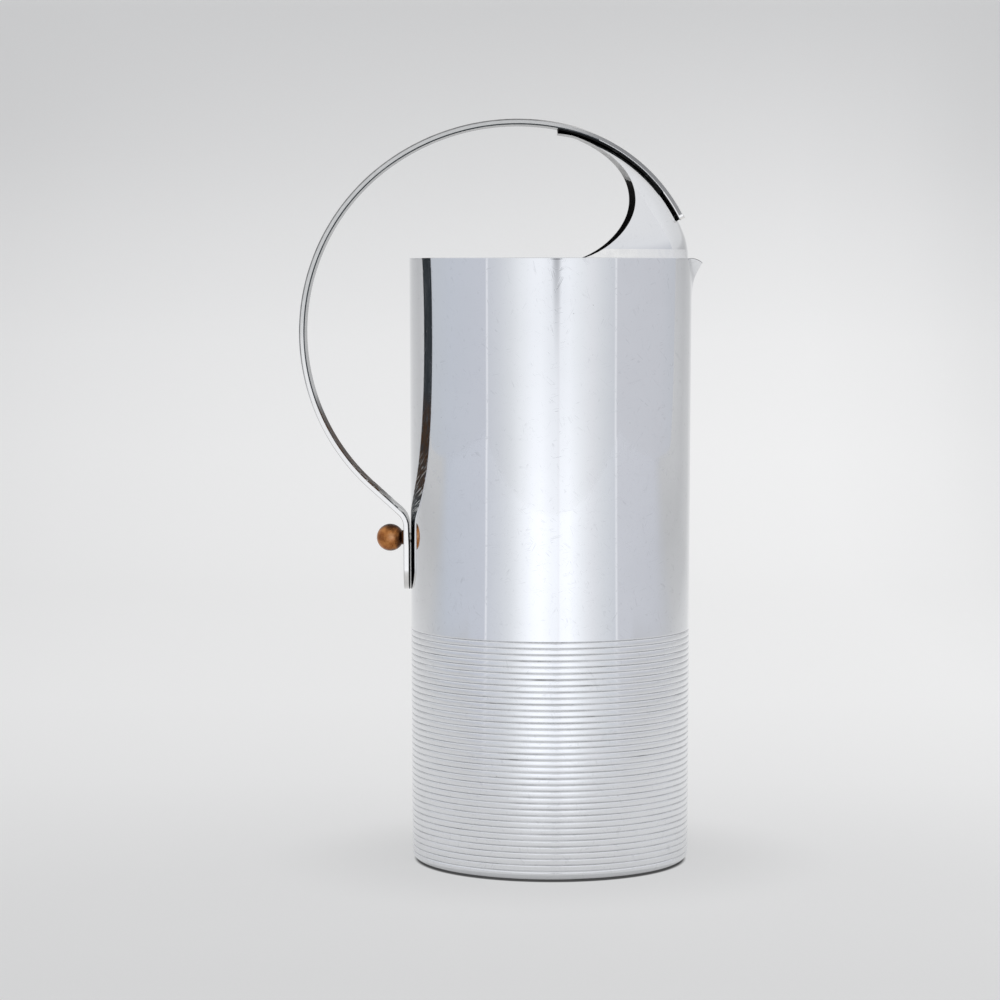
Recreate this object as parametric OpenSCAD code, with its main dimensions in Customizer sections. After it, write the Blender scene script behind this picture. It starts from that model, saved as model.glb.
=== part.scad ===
// Tall straight-sided pitcher with turned grooves, a pinched pouring lip, a domed hood over the
// mouth and a looped strap handle held by a ball-headed thumb screw.
// Millimetres. The origin is the centre of the flat base, +Z is up, +X points to the lip.

/* [Body] */
// Diameter of the body at its base
base_d = 100; // [94:0.5:106]
// Diameter of the body at its rim
rim_d = 101.6; // [98:0.1:108]
// Height of the body from the base to the rim
body_h = 216.9; // [195:0.1:240]
// Thickness of the wall
wall_t = 0.9; // [0.8:0.05:1.1]
// Thickness of the base
base_t = 1.2; // [0.9:0.1:2]
// Outer radius of the rounded foot
foot_r = 2.6; // [2:0.1:2.9]

/* [Grooves] */
// Number of grooves turned round the lower body
groove_count = 38; // [20:1:40]
// Distance from one groove to the next
groove_pitch = 2.17; // [1.8:0.01:2.3]
// Height of the lowest groove above the base
first_groove_h = 3.25; // [3.2:0.05:6]
// Width of one groove at the surface
groove_w = 0.5; // [0.35:0.05:0.7]
// Depth of one groove
groove_d = 0.35; // [0.2:0.01:0.4]
// How far the band between two grooves swells at its middle
band_crown = 0.1; // [0.05:0.01:0.15]

/* [Pouring lip] */
// How far the tip of the lip stands out beyond the rim
lip_reach = 3.9; // [3:0.1:5]
// How far the tip of the lip droops below the rim
lip_droop = 1.8; // [1.2:0.1:2.4]
// Half of the width of the lip at the rim
lip_half_w = 11; // [9:0.5:13]
// Radius of the flare of the lip, seen from the side
lip_flare_r = 26.2; // [23:0.2:30]
// Lean of the flare at the tip of the lip, from upright
lip_lean = 34; // [30:1:38]
// Radius of the rolled-over edge of the lip, seen from the side
lip_roll_r = 9; // [8:0.5:11]

/* [Handle strap] */
// Width of the strap
strap_w = 17; // [14:0.5:20]
// Thickness of the strap
strap_t = 2; // [1.6:0.1:2.4]
// How much wider than the rim the strap is over the hood, on the outer radius
front_over = 11.2; // [10:0.1:13]
// How far the centre of the front arc lies behind the body's axis
front_back = 7.8; // [6:0.1:9]
// How far the centre of the front arc lies below the rim
front_drop = 13; // [11:0.1:14]
// How much wider than the rim the strap is at the top of the loop, on the outer radius
top_over = 29.4; // [26:0.1:32]
// How much wider than the rim the strap is at the back of the loop, on the outer radius
back_over = 24.4; // [21:0.1:27]
// Angle of the strap's free end, round the front arc
front_end_angle = 26; // [24:0.5:30]
// Angle where the front arc runs into the top arc
top_start_angle = 77; // [70:0.5:80]
// Angle where the top arc runs into the back arc
back_start_angle = 126.5; // [120:0.5:135]
// Angle where the back arc runs out into the straight stretch
back_end_angle = 228; // [224:0.5:230]
// Middle radius of the bend above the tab
bend_r = 7; // [5:0.1:8]
// Length of the flat tab below the bend
tab_len = 23; // [20:0.1:26]
// Gap between the tab and the wall where the tab comes closest
tab_gap = 0.4; // [0.1:0.05:0.6]
// Corner radius of the strap's free end
end_corner_r = 1.6; // [1:0.1:3]

/* [Hood] */
// Thickness of the hood's sheet
hood_t = 0.8; // [0.6:0.05:1]
// Gap between the hood's skirt and the wall
hood_gap = 0.5; // [0.35:0.05:0.7]
// How far the skirt reaches below the rim
skirt_drop = 4; // [3:0.1:5]
// Thickness of the packing between the ridge of the hood and the strap
packing_t = 0.35; // [0.3:0.05:0.6]
// Distance from the rim under the lip to the cut-out where it meets the rim's plane
cut_foot_in = 39.6; // [36:0.1:42]
// Distance from the rim under the lip to the deepest point of the cut-out
cut_deep_in = 21.5; // [19:0.1:25]
// Height of the deepest point of the cut-out above the rim
cut_deep_h = 20.8; // [18:0.1:23]
// Distance from the axis to where the cut-out runs into the tongue
tongue_root_x = 7.5; // [6:0.1:9]
// Distance from the axis to the tip of the tongue under the strap
tongue_tip_x = 2.4; // [1.5:0.1:3.5]
// Angle round the front arc where the packing ends, near the strap's free end
packing_end_angle = 27; // [26:0.5:30]
// Angle round the front arc where the packing narrows towards the strap's free end
packing_step_angle = 36; // [32:0.5:42]
// Angle round the front arc where the packing starts to taper towards the tongue's tip
packing_taper_angle = 66; // [60:0.5:70]
// How far the packing stays inside the strap's edges along its middle
packing_inset = 0.5; // [0.2:0.1:1]
// How far the packing stays inside the strap's edges at its two ends
packing_end_inset = 3; // [2:0.1:4]
// Height of the solder up the foot of the hood
solder_h = 3; // [2:0.1:4]
// Width of the solder on the rim's top edge
solder_w = 0.45; // [0.3:0.05:0.7]
// Angle round the axis, from the lip, where the solder starts
solder_start_angle = 16; // [15:0.5:20]
// Clearance of soldered and packed seams, on each surface
seam = 0.02; // [0.01:0.01:0.04]

/* [Thumb screw] */
// Diameter of the ball
ball_d = 9.8; // [8.5:0.1:11]
// Diameter of the ball's short neck where it bears on the tab
ball_neck_d = 5.2; // [4.6:0.1:6]
// How far the neck holds the ball off the tab
ball_stand = 0.1; // [0.1:0.05:0.6]
// Distance of the ball's axis below the end of the bend
knob_drop = 4.3; // [2.5:0.1:6]
// Diameter of the screw's shank
screw_d = 3.5; // [3:0.1:4]
// Depth of the shank in the ball
screw_in_ball = 5; // [4:0.1:6]
// Running clearance round the shank in the ball and in the nut, on the radius
run_gap = 0.05; // [0.02:0.01:0.08]
// Clearance round the shank in the tab, wall and washers, on the radius
hole_gap = 0.15; // [0.1:0.01:0.25]
// Diameter of the sealing washer inside the wall
seal_d = 11; // [10:0.1:13]
// Thickness of the sealing washer at its middle
seal_t = 1.2; // [1:0.1:1.6]
// Diameter of the metal washer
washer_d = 9.6; // [9:0.1:10]
// Thickness of the metal washer
washer_t = 0.8; // [0.6:0.1:1.2]
// Width of the cap nut across its flats
nut_af = 7.9; // [7:0.1:8.5]
// Height of the hexagon of the cap nut
nut_h = 3.2; // [2.8:0.1:4]
// Radius of the dome of the cap nut
nut_dome_r = 3.5; // [3:0.1:3.8]
// Depth of the blind thread in the cap nut
nut_bore = 5.2; // [4.6:0.1:5.6]
// Gap between the end of the shank and the bottom of the blind thread
nut_end_gap = 0.7; // [0.4:0.1:1]

/* [Hidden] */
// Names of the pieces, one node each

$fn = 180;

// Steps of the short arcs, and degrees in one step of the long ones
foot_steps = 8;
corner_steps = 6;
shoulder_steps = 10;
cut_steps = 12;
long_arc_step = 1.5;

// Colours of the finishes
chrome = [0.80, 0.81, 0.83];
solder_grey = [0.66, 0.67, 0.68];
dull_metal = [0.20, 0.20, 0.21];
copper_brown = [0.56, 0.35, 0.20];
seal_black = [0.12, 0.12, 0.12];
nickel = [0.72, 0.71, 0.68];

// Overrun of every cutting shape
over = wall_t;

base_r = base_d / 2;
rim_r = rim_d / 2;

// Outer radius of the tapered body at a height
function outer_r(h) = base_r + (rim_r - base_r) * h / body_h;
// Inner radius of the tapered body at a height
function inner_r(h) = outer_r(h) - wall_t;
// Unit vector at an angle
function dir(a) = [cos(a), sin(a)];
// Points of an arc from one angle to another, in n steps, or without its first point
function arc(c, r, a0, a1, n, first = 0) = [for (k = [first:n]) c + r * dir(a0 + (a1 - a0) * k / n)];
// Rest of a long arc after its first point
function arc_on(c, r, a0, a1) = arc(c, r, a0, a1, ceil(abs(a1 - a0) / long_arc_step), 1);
// Point of a cubic curve at t, from its four control points
function cubic(p, t) =
    pow(1 - t, 3) * p[0] + 3 * pow(1 - t, 2) * t * p[1]
    + 3 * (1 - t) * pow(t, 2) * p[2] + pow(t, 3) * p[3];
// Points of a cubic curve in n steps
function cubic_points(p, n) = [for (k = [0:n]) cubic(p, k / n)];

// Height of one groove above the base
function groove_z(i) = first_groove_h + i * groove_pitch;
// Places across a groove, as shares of its width and of its depth
groove_shares = [[-0.5, 0], [-0.22, 1], [0.22, 1], [0.5, 0]];
// Places across a band between two grooves, as shares of its width
band_shares = [0.18, 0.5, 0.82];

// Drop of a band's edge beside a groove: the outermost edges stay flush with the plain wall
function edge_drop(i, side) =
    (i == 0 && side < 0) || (i == groove_count - 1 && side > 0) ? 0 : band_crown;

function groove_points(i) = [
    for (s = groove_shares)
        let (h = groove_z(i) + s[0] * groove_w)
        [outer_r(h) - (s[1] > 0 ? groove_d : edge_drop(i, s[0])), h]
];

function band_points(i) = [
    for (s = band_shares)
        let (h = groove_z(i) + groove_w / 2 + s * (groove_pitch - groove_w))
        [outer_r(h) - band_crown * pow(2 * s - 1, 2), h]
];

function grooved_points() = [
    for (i = [0:groove_count - 1])
        each concat(groove_points(i), i < groove_count - 1 ? band_points(i) : [])
];

// Lip: the flare is a bell round its own upright axis, a little inside the wall
lip_tip = [rim_r + lip_reach, body_h - lip_droop];
flare_c = lip_tip + lip_flare_r * [cos(lip_lean), -sin(lip_lean)];
flare_rim_x = flare_c[0] - sqrt(pow(lip_flare_r, 2) - pow(body_h - flare_c[1], 2));
lip_edge_x = sqrt(pow(rim_r, 2) - pow(lip_half_w, 2));
bell_x = (pow(flare_rim_x, 2) - pow(rim_r, 2)) / (2 * (flare_rim_x - lip_edge_x));
// Lean of the flare where it sinks into the wall
flare_foot_lean = 6;
bell_foot_h = flare_c[1] + lip_flare_r * sin(flare_foot_lean);

// Rolled edge of the lip: an arc from the middle of the rim's edge to the tip
roll_start = [rim_r - wall_t / 2, body_h];
roll_half = (lip_tip - roll_start) / 2;
roll_normal = [-roll_half[1], roll_half[0]] / norm(roll_half);
roll_c = roll_start + roll_half - roll_normal * sqrt(pow(lip_roll_r, 2) - pow(norm(roll_half), 2));

// Strap: arcs in the upright middle plane, each tangent to the next, placed from the rim
front_r = rim_r + front_over;
top_r = rim_r + top_over;
back_r = rim_r + back_over;
front_c = [-front_back, body_h - front_drop];
top_c = front_c - (top_r - front_r) * dir(top_start_angle);
back_c = top_c - (back_r - top_r) * dir(back_start_angle);
strap_mid = strap_t / 2;

// Tab: an upright stretch beside the leaning wall, placed where the straight stretch runs out.
// Its place solves the two slopes, at the end of the tab that the wall leans to.
wall_slope = (rim_r - base_r) / body_h;
run_dir = [-sin(back_end_angle), cos(back_end_angle)];
back_end = back_c + (back_r - strap_mid) * dir(back_end_angle);
bend_in = bend_r * (1 + cos(back_end_angle));
run_slope = run_dir[1] / run_dir[0];
lean_drop = wall_slope < 0 ? tab_len : 0;
axis_h = back_end[1] - (back_end[0] + bend_in) * run_slope - bend_r * run_dir[0] - lean_drop;
tab_x = -(outer_r(axis_h) + tab_gap + strap_mid) / (1 + wall_slope * run_slope);
run_len = (tab_x - bend_in - back_end[0]) / run_dir[0];
bend_start = back_end + run_len * run_dir;
bend_c = bend_start + bend_r * [run_dir[1], -run_dir[0]];
bend_end_h = bend_c[1];
tab_end_h = bend_end_h - tab_len;

// Hood: a crown concentric with the front of the strap, a shoulder and an upright skirt
crown_r = front_r - strap_t - packing_t;
skirt_r = rim_r - wall_t - hood_gap;
crown_reach = skirt_r - front_c[0];
shoulder_r = (pow(crown_reach, 2) + pow(front_drop, 2) - pow(crown_r, 2)) / (2 * (crown_reach - crown_r));
shoulder_c = [skirt_r - shoulder_r, body_h];

// Height of the crown's outer surface at a distance from the axis
function crown_h(r) = front_c[1] + sqrt(pow(crown_r, 2) - pow(r - front_c[0], 2));
// Height of the crown's surface under the edge of the strap, at a place along the strap
function tongue_h(x) = crown_h(norm([x, strap_w / 2]));

// Cut-out of the hood, seen from the side: two smooth curves that meet at the deepest point.
// Their control points are shares of the way from one end to the other, across and up.
cut_foot = [rim_r - cut_foot_in, body_h];
cut_deep = [rim_r - cut_deep_in, body_h + cut_deep_h];
tongue_root = [tongue_root_x, tongue_h(tongue_root_x)];
cut_lower_shares = [[0, 0], [0.46, 0.125], [1, 0.53], [1, 1]];
cut_upper_shares = [[0, 0], [0, 0.49], [0.495, 0.83], [1, 1]];

function between(p, q, shares) =
    [for (s = shares) [p[0] + s[0] * (q[0] - p[0]), p[1] + s[1] * (q[1] - p[1])]];

cut_lower = between(cut_foot, cut_deep, cut_lower_shares);
cut_upper = between(cut_deep, tongue_root, cut_upper_shares);

// Thumb screw: everything lies on one axis through the tab and the wall
knob_h = bend_end_h - knob_drop;
screw_r = screw_d / 2;
wall_x = -outer_r(knob_h);
wall_in_x = -inner_r(knob_h);
seat_x = tab_x - strap_mid;
ball_r = ball_d / 2;
ball_x = seat_x - ball_stand - ball_r;
seal_face_x = wall_in_x + seal_t;
washer_face_x = seal_face_x + washer_t;
screw_end_x = washer_face_x + nut_bore - nut_end_gap;

// Lays a shape drawn in X and Y into the upright plane of X and Z
module upright() {
    rotate([90, 0, 0])
        children();
}

// Rod along X from one place to another, on the axis of the thumb screw
module x_rod(x0, x1, r) {
    translate([x0, 0, knob_h])
        rotate([0, 90, 0])
            cylinder(r = r, h = x1 - x0);
}

// Body: turned shell with its grooves, the bell of the lip, and the bore for the thumb screw
module shell_outside() {
    rotate_extrude()
        polygon(concat(
            [[0, 0]],
            arc([base_r - foot_r, foot_r], foot_r, -90, 0, foot_steps),
            grooved_points(),
            [[rim_r, body_h], [0, body_h]]
        ));
}

module shell_inside(inset = 0) {
    corner_r = foot_r - wall_t;
    low_r = inner_r(base_t + corner_r) - inset;
    rotate_extrude()
        polygon(concat(
            [[0, base_t + inset]],
            arc([low_r - corner_r, base_t + corner_r + inset], corner_r, -90, 0, corner_steps),
            [[inner_r(body_h + over) - inset, body_h + over], [0, body_h + over]]
        ));
}

module lip_bell(inset) {
    translate([bell_x, 0, 0])
        rotate_extrude()
            difference() {
                translate([0, bell_foot_h])
                    square([flare_c[0] - bell_x - inset, body_h + over - bell_foot_h]);
                translate([flare_c[0] - bell_x - inset, flare_c[1]])
                    circle(r = lip_flare_r);
            }
}

module lip_roll_cutter() {
    reach = 2 * lip_half_w;
    difference() {
        translate([roll_c[0], -reach, lip_tip[1] - lip_reach])
            cube([reach, 2 * reach, reach]);
        translate([roll_c[0], 0, roll_c[1]])
            upright()
                cylinder(r = lip_roll_r, h = 2 * reach + 2 * over, center = true);
    }
}

module above_rim_cutter() {
    translate([-rim_d, -rim_d, body_h])
        cube([2 * rim_d, 2 * rim_d, rim_d]);
}

module body_shell() {
    color(chrome)
        difference() {
            union() {
                shell_outside();
                lip_bell(0);
            }
            shell_inside();
            lip_bell(wall_t);
            above_rim_cutter();
            lip_roll_cutter();
            x_rod(wall_x - over, wall_in_x + over, screw_r + hole_gap);
        }
}

// Hood: half of its outline from the foot of the skirt to the axis, moved in by a distance
crown_turn = atan2(shoulder_c[1] - front_c[1], shoulder_c[0] - front_c[0]);

function hood_line(inset) = concat(
    [[skirt_r - inset, body_h - skirt_drop]],
    arc(shoulder_c, shoulder_r - inset, 0, crown_turn, shoulder_steps),
    arc_on(front_c, crown_r - inset, crown_turn, acos(front_back / (crown_r - inset)))
);

// Everything inside the hood's outer surface, down to the foot of the skirt
module hood_solid(inset) {
    rotate_extrude()
        polygon(concat([[0, body_h - skirt_drop]], hood_line(inset)));
}

// What the cut-out leaves of the hood, seen from the side
module hood_side() {
    top = body_h + rim_r;
    low = body_h - skirt_drop - over;
    upright()
        linear_extrude(height = rim_d, center = true)
            polygon(concat(
                [[cut_foot[0], low]],
                cubic_points(cut_lower, cut_steps),
                [for (p = cubic_points(cut_upper, cut_steps)) if (p[1] > cut_deep[1]) p],
                [[tongue_tip_x, tongue_h(tongue_tip_x)], [tongue_tip_x, top], [rim_d, top], [rim_d, low]]
            ));
}

module hood() {
    inner = hood_line(hood_t);
    color(chrome)
        intersection() {
            rotate_extrude()
                polygon(concat(hood_line(0), [for (k = [len(inner) - 1:-1:0]) inner[k]]));
            hood_side();
        }
}

// Solder: a fillet on each side of the lip, down into the gap round the skirt
module hood_solder() {
    cut_angle = acos(cut_foot[0] / skirt_r);
    sweep = cut_angle - solder_start_angle;
    gap_low_h = body_h - skirt_drop;
    color(solder_grey)
        for (a = [solder_start_angle, -cut_angle])
            difference() {
                intersection() {
                    rotate([0, 0, a])
                        rotate_extrude(angle = sweep)
                            polygon([
                                [skirt_r - hood_t / 2, gap_low_h],
                                [inner_r(gap_low_h) - seam, gap_low_h],
                                [inner_r(body_h) - seam, body_h + seam],
                                [inner_r(body_h) + solder_w, body_h + seam],
                                [skirt_r + seam, body_h + solder_h],
                                [skirt_r - hood_t / 2, body_h + solder_h]
                            ]);
                    hood_side();
                }
                hood_solid(-seam);
            }
}

// Strap: one side of the ribbon seen from the side, 1 for the outer face and -1 for the inner one
function strap_side(s) = let (face = s * strap_mid) concat(
    [front_c + (front_r - strap_mid + face) * dir(front_end_angle)],
    arc_on(front_c, front_r - strap_mid + face, front_end_angle, top_start_angle),
    arc_on(top_c, top_r - strap_mid + face, top_start_angle, back_start_angle),
    arc_on(back_c, back_r - strap_mid + face, back_start_angle, back_end_angle),
    [bend_start + face * dir(back_end_angle)],
    arc_on(bend_c, bend_r - face, back_end_angle - 180, 0),
    [[tab_x - face, tab_end_h]]
);

module strap_ribbon() {
    outer = strap_side(1);
    inner = strap_side(-1);
    upright()
        linear_extrude(height = strap_w, center = true)
            polygon(concat(outer, [for (k = [len(inner) - 1:-1:0]) inner[k]]));
}

// Cutter that leaves a half-round end on the tab, as wide as the strap
module tab_end_cutter() {
    centre_h = tab_end_h + strap_w / 2;
    translate([tab_x - strap_t, 0, centre_h])
        rotate([0, 90, 0])
            difference() {
                translate([0, -strap_w, 0])
                    cube([strap_w, 2 * strap_w, 2 * strap_t]);
                translate([0, 0, -over])
                    cylinder(d = strap_w, h = 2 * (strap_t + over));
            }
}

// Cutters that round the two corners of the strap's free end. Each round crosses the side of the
// strap at a shallow angle and leaves a faint edge there.
module end_corner_cutters() {
    cross_angle = 12;
    edge = strap_w / 2;
    in_by = end_corner_r * cos(cross_angle);
    translate([front_c[0], 0, front_c[1]])
        rotate([0, -front_end_angle, 0])
            for (s = [0, 1])
                mirror([0, s, 0])
                    difference() {
                        translate([crown_r, edge - in_by, -over])
                            cube([front_r - crown_r + over, in_by + over, in_by + over]);
                        translate([crown_r - over, edge - in_by, in_by])
                            rotate([0, 90, 0])
                                cylinder(r = end_corner_r, h = front_r - crown_r + 3 * over);
                    }
}

module handle_strap() {
    color(chrome)
        difference() {
            strap_ribbon();
            end_corner_cutters();
            tab_end_cutter();
            x_rod(seat_x - over, tab_x + strap_mid + over, screw_r + hole_gap);
        }
}

// Distance from the axis of a place round the crown
function crown_x(a) = front_c[0] + crown_r * cos(a);

// Outline of the packing from above: narrow at both ends
module packing_outline() {
    wide = strap_w / 2 - packing_inset;
    narrow = strap_w / 2 - packing_end_inset;
    half = [
        [tongue_tip_x, narrow],
        [crown_x(packing_taper_angle), wide],
        [crown_x(packing_step_angle), wide],
        [crown_x(packing_step_angle) + hood_t, narrow],
        [front_r, narrow]
    ];
    polygon(concat(half, [for (k = [len(half) - 1:-1:0]) [half[k][0], -half[k][1]]]));
}

// Packing: flat under the strap above, and hollowed to the dome below
module strap_packing() {
    tip_angle = acos((tongue_tip_x - front_c[0]) / crown_r);
    color(dull_metal)
        difference() {
            intersection() {
                translate([front_c[0], 0, front_c[1]])
                    upright()
                        rotate([0, 0, packing_end_angle])
                            rotate_extrude(angle = tip_angle - packing_end_angle)
                                translate([crown_r - 3 * packing_t, -strap_w / 2])
                                    square([4 * packing_t - seam, strap_w]);
                translate([0, 0, body_h])
                    linear_extrude(height = rim_r)
                        packing_outline();
            }
            hood_solid(-seam);
        }
}

// Ball of the thumb screw, with a short neck that bears on the tab
module knob_ball() {
    color(copper_brown)
        difference() {
            union() {
                translate([ball_x, 0, knob_h])
                    sphere(r = ball_r);
                x_rod(ball_x, seat_x, ball_neck_d / 2);
            }
            x_rod(seat_x - screw_in_ball, seat_x + over, screw_r + run_gap);
        }
}

module knob_screw() {
    color(nickel)
        x_rod(seat_x - screw_in_ball + run_gap, screw_end_x, screw_r);
}

// Sealing washer: bedded on the curved wall on one side, flat on the other
module seal_washer() {
    color(seal_black)
        difference() {
            intersection() {
                x_rod(wall_in_x - over, seal_face_x, seal_d / 2);
                shell_inside(seam);
            }
            x_rod(wall_in_x - 2 * over, seal_face_x + over, screw_r + hole_gap);
        }
}

module backing_washer() {
    color(nickel)
        difference() {
            x_rod(seal_face_x, washer_face_x, washer_d / 2);
            x_rod(seal_face_x - over, washer_face_x + over, screw_r + hole_gap);
        }
}

module cap_nut() {
    hex_sides = 6;
    dome_x = washer_face_x + nut_h;
    color(nickel)
        difference() {
            union() {
                translate([washer_face_x, 0, knob_h])
                    rotate([0, 90, 0])
                        cylinder(d = nut_af / cos(180 / hex_sides), h = nut_h, $fn = hex_sides);
                intersection() {
                    translate([dome_x, 0, knob_h])
                        sphere(r = nut_dome_r);
                    x_rod(washer_face_x + nut_h / 2, dome_x + nut_dome_r, nut_dome_r);
                }
            }
            x_rod(washer_face_x - over, washer_face_x + nut_bore, screw_r + run_gap);
        }
}

body_shell();
hood();
hood_solder();
handle_strap();
strap_packing();
knob_ball();
knob_screw();
seal_washer();
backing_washer();
cap_nut();
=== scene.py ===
"""Looks of the chrome pitcher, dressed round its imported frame: body, hood, strap and ball as
fine meshes with exact normals, procedural finishes, a pale sweep and one soft studio world."""

import math

import bpy
import numpy as np
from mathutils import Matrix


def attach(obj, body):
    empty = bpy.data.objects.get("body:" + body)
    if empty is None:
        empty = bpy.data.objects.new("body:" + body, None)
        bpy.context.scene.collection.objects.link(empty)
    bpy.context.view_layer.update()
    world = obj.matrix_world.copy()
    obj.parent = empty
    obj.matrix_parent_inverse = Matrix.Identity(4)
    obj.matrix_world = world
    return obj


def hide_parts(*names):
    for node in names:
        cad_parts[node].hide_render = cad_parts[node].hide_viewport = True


MM = 0.001

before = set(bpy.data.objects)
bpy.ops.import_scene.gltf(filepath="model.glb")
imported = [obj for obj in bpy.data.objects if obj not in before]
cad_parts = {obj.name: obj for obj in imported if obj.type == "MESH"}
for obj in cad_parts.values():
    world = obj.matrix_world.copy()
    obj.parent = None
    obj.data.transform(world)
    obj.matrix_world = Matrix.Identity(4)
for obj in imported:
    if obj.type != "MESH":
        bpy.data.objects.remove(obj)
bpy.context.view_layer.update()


# Sizes of the pitcher, in millimetres, as in its source

BODY_H = 216.9
BASE_R = 50.0
RIM_R = 50.8
WALL = 0.9
FLOOR = 1.2
FOOT_R = 2.6

GROOVES = 38
GROOVE_PITCH = 2.17
FIRST_GROOVE = 3.25
GROOVE_W = 0.5
GROOVE_D = 0.35
# The bands between the grooves are flatter than in the source
BAND_CROWN = 0.028

LIP_REACH = 3.9
LIP_DROOP = 1.8
LIP_HALF_W = 11.0
LIP_FLARE_R = 26.2
LIP_LEAN = math.radians(34)
LIP_FOOT_LEAN = math.radians(6)
LIP_ROLL_R = 9.0

STRAP_W = 17.0
STRAP_T = 2.0
FRONT_R = RIM_R + 11.2
TOP_R = RIM_R + 29.4
BACK_R = RIM_R + 24.4
FRONT_C = np.array([-7.8, BODY_H - 13.0])
END_ANGLE = math.radians(26)
TOP_ANGLE = math.radians(77)
BACK_ANGLE = math.radians(126.5)
RUN_ANGLE = math.radians(228)
BEND_R = 7.0
TAB_LEN = 23.0
TAB_GAP = 0.4
END_CORNER_R = 1.6

PACKING_T = 0.35
HOOD_T = 0.8
HOOD_GAP = 0.5
SKIRT_R = RIM_R - WALL - HOOD_GAP
SKIRT_DROP = 4.0
CROWN_R = FRONT_R - STRAP_T - PACKING_T
CUT_FOOT = np.array([RIM_R - 39.6, BODY_H])
CUT_DEEP = np.array([RIM_R - 21.5, BODY_H + 20.8])
TONGUE_ROOT_X = 7.5
TONGUE_TIP_X = 2.4

BALL_R = 4.9
BALL_STAND = 0.1
KNOB_DROP = 4.3
NECK_R = 2.6


# Places along the strap: arcs, each tangent to the next, a straight run, a bend and the tab


def unit(angle):
    return np.array([math.cos(angle), math.sin(angle)])


def outer_r(h):
    """Radius of the plain wall's outer face at a height."""
    return BASE_R + (RIM_R - BASE_R) * h / BODY_H


TOP_C = FRONT_C - (TOP_R - FRONT_R) * unit(TOP_ANGLE)
BACK_C = TOP_C - (BACK_R - TOP_R) * unit(BACK_ANGLE)
STRAP_MID = STRAP_T / 2
STRAP_HALF = STRAP_W / 2
RUN_DIR = np.array([-math.sin(RUN_ANGLE), math.cos(RUN_ANGLE)])
BACK_END = BACK_C + (BACK_R - STRAP_MID) * unit(RUN_ANGLE)
BEND_IN = BEND_R * (1 + math.cos(RUN_ANGLE))
WALL_SLOPE = (RIM_R - BASE_R) / BODY_H
RUN_SLOPE = RUN_DIR[1] / RUN_DIR[0]
AXIS_H = BACK_END[1] - (BACK_END[0] + BEND_IN) * RUN_SLOPE - BEND_R * RUN_DIR[0]
TAB_X = -(outer_r(AXIS_H) + TAB_GAP + STRAP_MID) / (1 + WALL_SLOPE * RUN_SLOPE)
RUN_LEN = (TAB_X - BEND_IN - BACK_END[0]) / RUN_DIR[0]
BEND_START = BACK_END + RUN_LEN * RUN_DIR
BEND_C = BEND_START + BEND_R * np.array([RUN_DIR[1], -RUN_DIR[0]])
KNOB_H = BEND_C[1] - KNOB_DROP
BALL_X = TAB_X - STRAP_MID - BALL_STAND - BALL_R


# Small shape helpers


def arc(centre, radius, start, stop, steps):
    """Points of an arc, both ends included."""
    angles = np.linspace(start, stop, steps + 1)
    return np.stack([centre[0] + radius * np.cos(angles), centre[1] + radius * np.sin(angles)], 1)


def lengthwise(points):
    """Tangents along the last-but-one axis, from the parabola through each three points."""
    step = np.diff(points, axis=-2)
    size = np.linalg.norm(step, axis=-1, keepdims=True) + 1e-9
    slope = step / size
    before, after = size[..., :-1, :], size[..., 1:, :]
    inner = (slope[..., :-1, :] * after + slope[..., 1:, :] * before) / (before + after)
    return np.concatenate([slope[..., :1, :], inner, slope[..., -1:, :]], axis=-2)


def crosswise(grid):
    """Tangents along the first axis of a grid of points."""
    return np.swapaxes(lengthwise(np.swapaxes(grid, 0, 1)), 0, 1)


def normalised(vectors):
    return vectors / (np.linalg.norm(vectors, axis=-1, keepdims=True) + 1e-12)


def grid_normals(grid, closed):
    """Unit normals of a grid of points, its first axis closed into a ring or open."""
    across = np.roll(grid, -1, 0) - np.roll(grid, 1, 0) if closed else crosswise(grid)
    return normalised(np.cross(across, lengthwise(grid)))


def grid_faces(rows, cols, ring_rows=False, ring_cols=False):
    """Quads of a grid, either way round closed or open, and the row and column of each."""
    i, j = np.indices((rows if ring_rows else rows - 1, cols if ring_cols else cols - 1))
    ni, nj = (i + 1) % rows, (j + 1) % cols
    quads = np.stack([i * cols + j, ni * cols + j, ni * cols + nj, i * cols + nj], -1)
    return quads.reshape(-1, 4), np.stack([i, j], -1).reshape(-1, 2)


def mesh_object(name, points, faces, normals, materials, face_material=None, uv=None):
    """Mesh in metres from points or a grid in millimetres, with its normals and corner UVs."""
    mesh = bpy.data.meshes.new(name)
    mesh.from_pydata((points.reshape(-1, 3) * MM).tolist(), [], faces.tolist())
    for material in materials:
        mesh.materials.append(material)
    if face_material is not None:
        mesh.polygons.foreach_set("material_index", face_material.astype(np.int32))
    if uv is not None:
        layer = mesh.uv_layers.new(name="UVMap")
        layer.data.foreach_set("uv", uv.reshape(-1).astype(np.float32))
    mesh.polygons.foreach_set("use_smooth", np.full(len(faces), normals is not None))
    mesh.update()
    if normals is not None:
        mesh.normals_split_custom_set_from_vertices(normals.reshape(-1, 3).tolist())
    obj = bpy.data.objects.new(name, mesh)
    bpy.context.scene.collection.objects.link(obj)
    return obj


def dress(obj, body, node):
    """The piece rides on a body and stands for its CAD node."""
    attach(obj, body)
    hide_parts(node)


# Helpers that build node trees

# Where most of a noise's values lie
NOISE_RANGE = (0.3, 0.7)


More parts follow.
